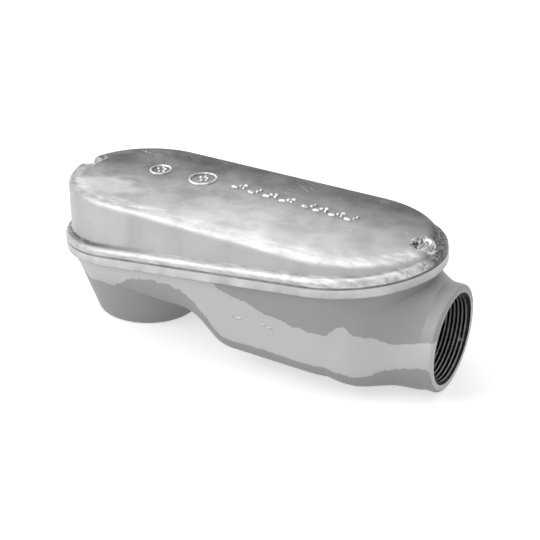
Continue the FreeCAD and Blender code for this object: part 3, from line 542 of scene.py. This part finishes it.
def zinc_cover():
    """The cover: smoother zinc, with a painted reflection on its top, bright in front, dark at the
    back.
    """
    material, bench, surface, place = new_material("zinc_cover")
    _, y, z = bench.axes(place)
    skin = effect(bench, "skin", Place=place, Pebbles=0.4, Waves=1.2, Pimples=0.4)
    runs = effect(bench, "runs", Place=place)
    wear = effect(bench, "wear", Place=place)
    lift = bench.above_joint(place)
    streaks = bench.noise(bench.stretch(place, x=0.3), 0.22, detail=5.0, roughness=0.65)

    bead, wall = bench.shade(runs["Runs"], BEAD_ZINC), bench.shade(runs["Runs"], WALL_ZINC)
    side = bench.mix(bench.spread(lift, BEAD_TOP - 0.6, BEAD_TOP + 0.6), bead, wall)
    top = cover_top(bench, place, runs["Clouds"])
    colour = bench.mix(bench.spread(z, COVER_TOP - 4.0, COVER_TOP - 1.2), side, top)
    colour = bench.lay(colour, mottled_end(bench, place), DARK_END)
    # painted highlight along the front rim and bead
    colour = bench.lay(colour, rim_highlight(bench, place, lift, streaks), RIM_HIGHLIGHT)
    # painted shade in the crease between dome and bead
    colour = bench.lay(colour, crease_shade(bench, place, lift, streaks), CREASE_SHADE)
    specks = bench.spread(bench.noise(place, 0.3, detail=3.0), 0.5, 0.6)
    colour = bench.mix(seat_patch(bench, place), colour, bench.shade(specks, SEAT))
    rise = bench.math("SUBTRACT", z, COVER_TOP)
    painted_marks = mark_light_and_shade(bench, place, rise)
    colour = bench.mix(bench.spread(rise, 0.02, 0.1), colour, painted_marks)
    amount = bench.spread(y, 10.0, 45.0, 0.1, 0.45)
    lines = effect(bench, "scratches", Place=place, Turn=0.5, Amount=amount)
    colour = bench.lay(colour, bench.product(lines["Scratch"], 0.6), SCRATCH)
    colour = bench.lay(colour, wear["Wear"], COVER_WEAR)

    bench.give(surface.inputs["Base Color"], colour)
    bench.give(surface.inputs["Roughness"], bench.spread(runs["Clouds"], 0.0, 1.0, 0.52, 0.40))
    surface.inputs["Metallic"].default_value = 0.8
    set_normal(bench, surface, skin["Height"], SKIN_DEPTH)
    return material


# ---------------------------------------------------------------- threads, gasket and screws
def thread_groove_shade():
    """Flanks of the threads, painted near black as shade, with one bright nick."""
    material, bench, surface, place = new_material("thread_groove_shade")
    # painted shade on the thread flanks, near black to dark grey
    colour = bench.shade(bench.noise(place, 0.16, detail=4.0), GROOVE_SHADE)
    nick = effect(
        bench, "patch", Place=place, Centre=NICK, Squash=(0.6, 1, 1), Radius=1.2, Softness=1.5,
        Ragged=1.5,
    )
    bench.give(surface.inputs["Base Color"], bench.lay(colour, nick["Mask"], NICKED))
    surface.inputs["Roughness"].default_value = 0.6
    surface.inputs["Specular IOR Level"].default_value = 0.15
    return material


def thread_crest():
    """Bright machined crests of the threads."""
    material, bench, surface, place = new_material("thread_crest")
    stain = bench.noise(place, 0.16, detail=4.0, roughness=0.6)
    colour = bench.shade(bench.spread(stain, 0.35, 0.65), CREST)
    bench.give(surface.inputs["Base Color"], colour)
    surface.inputs["Metallic"].default_value = 0.2
    surface.inputs["Roughness"].default_value = 0.35
    return material


def gasket_rubber():
    """Flat gasket sheet, dusty and flecked with zinc."""
    material, bench, surface, place = new_material("gasket_rubber")
    dust = bench.noise(place, 0.12, detail=5.0, roughness=0.7)
    colour = bench.shade(bench.spread(dust, 0.35, 0.65), GASKET)
    bench.give(surface.inputs["Base Color"], colour)
    surface.inputs["Roughness"].default_value = 0.85
    set_normal(bench, surface, dust, DUST_DEPTH)
    return material


def plated_screw():
    """Zinc-plated steel screw, with stains and rubbed edges."""
    material, bench, surface, place = new_material("plated_screw")
    wear = effect(bench, "wear", Place=place, From=0.52, To=0.58)
    stain = bench.noise(place, 0.3, detail=4.0)
    colour = bench.lay(bench.shade(stain, SCREW), wear["Wear"], SCREW_WEAR)
    bench.give(surface.inputs["Base Color"], colour)
    surface.inputs["Metallic"].default_value = 0.9
    bench.give(surface.inputs["Roughness"], bench.spread(stain, 0.3, 0.7, 0.2, 0.36))
    return material


COVER_ZINC = zinc_cover()
CASTING_ZINC = zinc_casting()
SCREW_ZINC = plated_screw()
MATERIALS = {
    "body_casting": CASTING_ZINC,
    "cover": COVER_ZINC,
    "gasket": gasket_rubber(),
    "cover_screw_deep_end": SCREW_ZINC,
    "cover_screw_shallow_end": SCREW_ZINC,
}
THREAD = (thread_groove_shade(), thread_crest())


def dress_castings():
    """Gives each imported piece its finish."""
    for name, material in MATERIALS.items():
        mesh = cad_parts[name].data
        if not mesh.materials:
            mesh.materials.append(material)
        for number in range(len(mesh.materials)):
            mesh.materials[number] = material


# ---------------------------------------------------------------- pieces
def add_piece(name, maker, materials, smooth=True):
    """A piece built with bmesh, riding on the part."""
    mesh = bpy.data.meshes.new(name)
    work = bmesh.new()
    maker(work)
    bmesh.ops.recalc_face_normals(work, faces=work.faces)
    work.to_mesh(mesh)
    work.free()
    for material in materials:
        mesh.materials.append(material)
    for polygon in mesh.polygons:
        polygon.use_smooth = smooth
    piece = bpy.data.objects.new(name, mesh)
    bpy.context.scene.collection.objects.link(piece)
    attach(piece, "root")


def bridge(work, rings, closed=False, bright=None):
    """Faces between rings of as many corners, with ends on an open row; the bright strip takes
    the second material."""
    pairs = list(zip(rings, rings[1:])) + ([(rings[-1], rings[0])] if closed else [])
    for here, there in pairs:
        for number in range(len(here)):
            after = (number + 1) % len(here)
            face = work.faces.new((here[number], here[after], there[after], there[number]))
            face.material_index = int(number == bright)
    if not closed:
        work.faces.new(rings[0])
        work.faces.new(tuple(reversed(rings[-1])))


def thread_ridge(work, centre, out, side):
    """One closed helical ridge of a hub's thread: out points out of the hub, side across it."""
    steps = 120                     # in a turn; the run-out takes the last third of one
    foot_radius = THREAD_ROOT + 0.04        # a little way into the wall
    third = out.cross(side)
    half_foot, half_flat = THREAD_FOOT * THREAD_PITCH, THREAD_FLAT * THREAD_PITCH
    start = MOUTH + 0.1 - half_foot
    turns = (THREAD_LENGTH - start - half_foot) / THREAD_PITCH
    count = int(turns * steps)
    rings = []
    for step in range(count + 1):
        angle = 2 * math.pi * step / steps
        radial = side * math.cos(angle) + third * math.sin(angle)
        depth = start + THREAD_PITCH * step / steps
        crest = THREAD_CREST - depth * THREAD_TAPER
        run_out = min(1.0, (count - step) / (steps / 3))
        crest = THREAD_ROOT - (THREAD_ROOT - crest) * max(run_out, 0.03)
        # what lies before the mouth is cut off; where that is the whole crest, the rest is lower
        front = MOUTH - depth
        cut = max(0.0, (front - half_flat) / (half_foot - half_flat))
        crest += cut * (THREAD_ROOT - crest)
        ring = []
        for offset, radius in (
            (max(-half_foot, front), foot_radius), (max(-half_flat, front), crest),
            (max(half_flat, front + 0.02), crest), (half_foot, foot_radius),
        ):
            point = centre - out * (depth + offset) + radial * radius
            ring.append(work.verts.new(point * MM))
        rings.append(ring)
    bridge(work, rings, bright=1)


def cut_threads():
    """The threads of both hubs; the ridges wind left-handed, unlike real conduit thread."""
    for name, face, out, side in (
        ("end_hub_thread", (HUB_REACH, 0, HUB_RISE), (1, 0, 0), (0, 1, 0)),
        ("back_hub_thread", (0, 0, 0), (0, 0, -1), (1, 0, 0)),
    ):
        def make(work, hub=(Vector(face), Vector(out), Vector(side))):
            thread_ridge(work, *hub)
        add_piece(name, make, THREAD, smooth=False)


def raised_bar(work, middle, turn, length, width, height):
    """A low cast bar with drafted sides and round ends; turn takes its length, width and rise to
    their directions."""
    corners = 16
    rings = []
    for rise, inset in (
        (-0.2, 0.0), (0.0, 0.0), (0.4 * height, 0.25), (0.78 * height, 0.6), (height, 1.1),
    ):
        half_long, half_wide = length / 2 - inset, width / 2 - inset * 0.7
        end = min(half_wide, half_long)
        ring = []
        for number in range(corners):
            angle = 2 * math.pi * number / corners
            reach = (half_long - end) * (1 if math.cos(angle) > 0 else -1)
            corner = Vector((reach + end * math.cos(angle), half_wide * math.sin(angle), rise))
            ring.append(work.verts.new((middle + turn @ corner) * MM))
        rings.append(ring)
    bridge(work, rings)


def raised_ring(work, middle, radius, squash):
    """A low cast ring on the cover's top, drawn out across the part."""
    corners = 48
    # across and up, in the ring's width and the marks' height
    profile = (
        (-0.5, -0.2), (-0.5, 0.0), (-0.32, 0.75), (0.0, 1.0), (0.32, 0.75), (0.5, 0.0),
        (0.5, -0.2),
    )
    rings = []
    for number in range(corners):
        angle = 2 * math.pi * number / corners
        ring = []
        for across, rise in profile:
            reach = radius + across * RING_WIDTH
            corner = Vector((
                reach * math.cos(angle), squash * reach * math.sin(angle), rise * MARK_HEIGHT,
            ))
            ring.append(work.verts.new((middle + corner) * MM))
        rings.append(ring)
    bridge(work, rings, closed=True)


def add_tallies():
    """Plain raised rings, pads and bars where a foundry puts its marks; they say nothing."""
    def top_bar(work, x, y, angle, length, width):
        turn = Matrix.Rotation(angle, 3, "Z")
        raised_bar(work, Vector((x, y, COVER_TOP)), turn, length, width, MARK_HEIGHT)

    def make(work):
        for x, y, radius, squash in RINGS:
            raised_ring(work, Vector((x, y, COVER_TOP)), radius, squash)
            for dx, dy in RING_PADS:
                top_bar(work, x + dx, y + dy, math.atan2(dy, dx), PAD_LENGTH, PAD_WIDTH)
        for number, (x, y) in enumerate(MARK_PLACES):
            for dx, dy, length, width, degrees in LAYOUTS[number % len(LAYOUTS)]:
                top_bar(work, x + dx, y + dy, math.radians(degrees), length, width)
    add_piece("cast_tallies", make, [COVER_ZINC])


def add_side_mark():
    """Small cast pads on the casting's side wall."""
    upright = Matrix.Rotation(math.pi / 2 - WALL_DRAFT, 3, "X")

    def make(work):
        for x, z, length, degrees in SIDE_PADS:
            turn = upright @ Matrix.Rotation(math.radians(degrees), 3, "Z")
            half_width = WALL_HALF_WIDTH + (z - WALL_RISE) * math.tan(WALL_DRAFT)
            middle = Vector((x, -half_width, z))
            raised_bar(work, middle, turn, length, SIDE_PAD_WIDTH, SIDE_PAD_HEIGHT)
    add_piece("side_mark", make, [CASTING_ZINC])


# ---------------------------------------------------------------- studio
def pale_floor():
    """A pale floor, white to the eye and in reflections, which keeps the object's shadow."""
    material, bench = empty_material("pale_floor")
    seen = bench.seen()
    colour = bench.shade(seen, (FLOOR_SHADE, FLOOR_SEEN))
    diffuse = bench.add("ShaderNodeBsdfDiffuse", Color=colour)
    glow = bench.add("ShaderNodeEmission", Strength=bench.product(seen, FLOOR_GLOW))
    both = bench.add("ShaderNodeAddShader", in0=diffuse.outputs[0], in1=glow.outputs[0])
    bench.add("ShaderNodeOutputMaterial", Surface=both.outputs[0])
    return material


def lay_floor():
    """The floor the part stands on: it touches the back hub's rim and the low edge of the end
    hub."""
    half_side = 6.0
    slope = math.atan2(HUB_RISE - HUB_RADIUS, HUB_REACH - HUB_RADIUS)
    mesh = bpy.data.meshes.new("floor")
    work = bmesh.new()
    bmesh.ops.create_grid(work, x_segments=2, y_segments=2, size=half_side)
    work.to_mesh(mesh)
    work.free()
    floor = bpy.data.objects.new("floor", mesh)
    pivot = Vector((HUB_RADIUS * MM, 0, 0))
    floor.matrix_world = Matrix.Translation(pivot) @ Matrix.Rotation(-slope, 4, "Y")
    bpy.context.scene.collection.objects.link(floor)
    mesh.materials.append(pale_floor())


def light_studio():
    """Large soft boxes: a key at the front left, one overhead, and one at the back left for the
    cover's sheen; the world is white to the eye and half as bright on the object."""
    world = bpy.data.worlds.new("studio")
    bpy.context.scene.world = world
    world.use_nodes = True
    world.node_tree.nodes.clear()
    bench = Bench(world.node_tree)
    strength = bench.spread(bench.seen(), 0.0, 1.0, 0.5, 1.0)
    background = bench.add("ShaderNodeBackground", Color=(1, 1, 1, 1), Strength=strength)
    bench.add("ShaderNodeOutputWorld", Surface=background.outputs[0])

    target = Vector((0.11, 0, 0.06))
    # all in metres and watts
    for name, place, side, power in (
        ("key", (-0.75, -1.1, 0.95), 1.0, 10.0),
        ("overhead", (0.0, -0.1, 1.5), 1.0, 4.0),
        ("back_left", (-0.9, 1.0, 1.0), 0.8, 2.0),
    ):
        lamp = bpy.data.lights.new(name, "AREA")
        lamp.shape = "SQUARE"
        lamp.size = side
        lamp.energy = power
        holder = bpy.data.objects.new(name, lamp)
        holder.location = place
        holder.rotation_euler = (target - Vector(place)).to_track_quat("-Z", "Y").to_euler()
        bpy.context.scene.collection.objects.link(holder)


def set_camera():
    """A long lens from the front right, a little above."""
    camera = bpy.data.cameras.new("camera")
    camera.sensor_width = 36.0
    camera.lens = 81.858
    camera.shift_x, camera.shift_y = -0.0135, -0.0524
    camera.clip_start, camera.clip_end = 0.05, 30.0
    holder = bpy.data.objects.new("camera", camera)
    holder.location = (0.54473, -0.77752, 0.49771)
    holder.rotation_euler = [math.radians(turn) for turn in (65.1146, -2.0712, 29.3904)]
    bpy.context.scene.collection.objects.link(holder)
    bpy.context.scene.camera = holder


dress_castings()
cut_threads()
add_tallies()
add_side_mark()
lay_floor()
light_studio()
set_camera()
bpy.context.scene.view_settings.view_transform = "Standard"
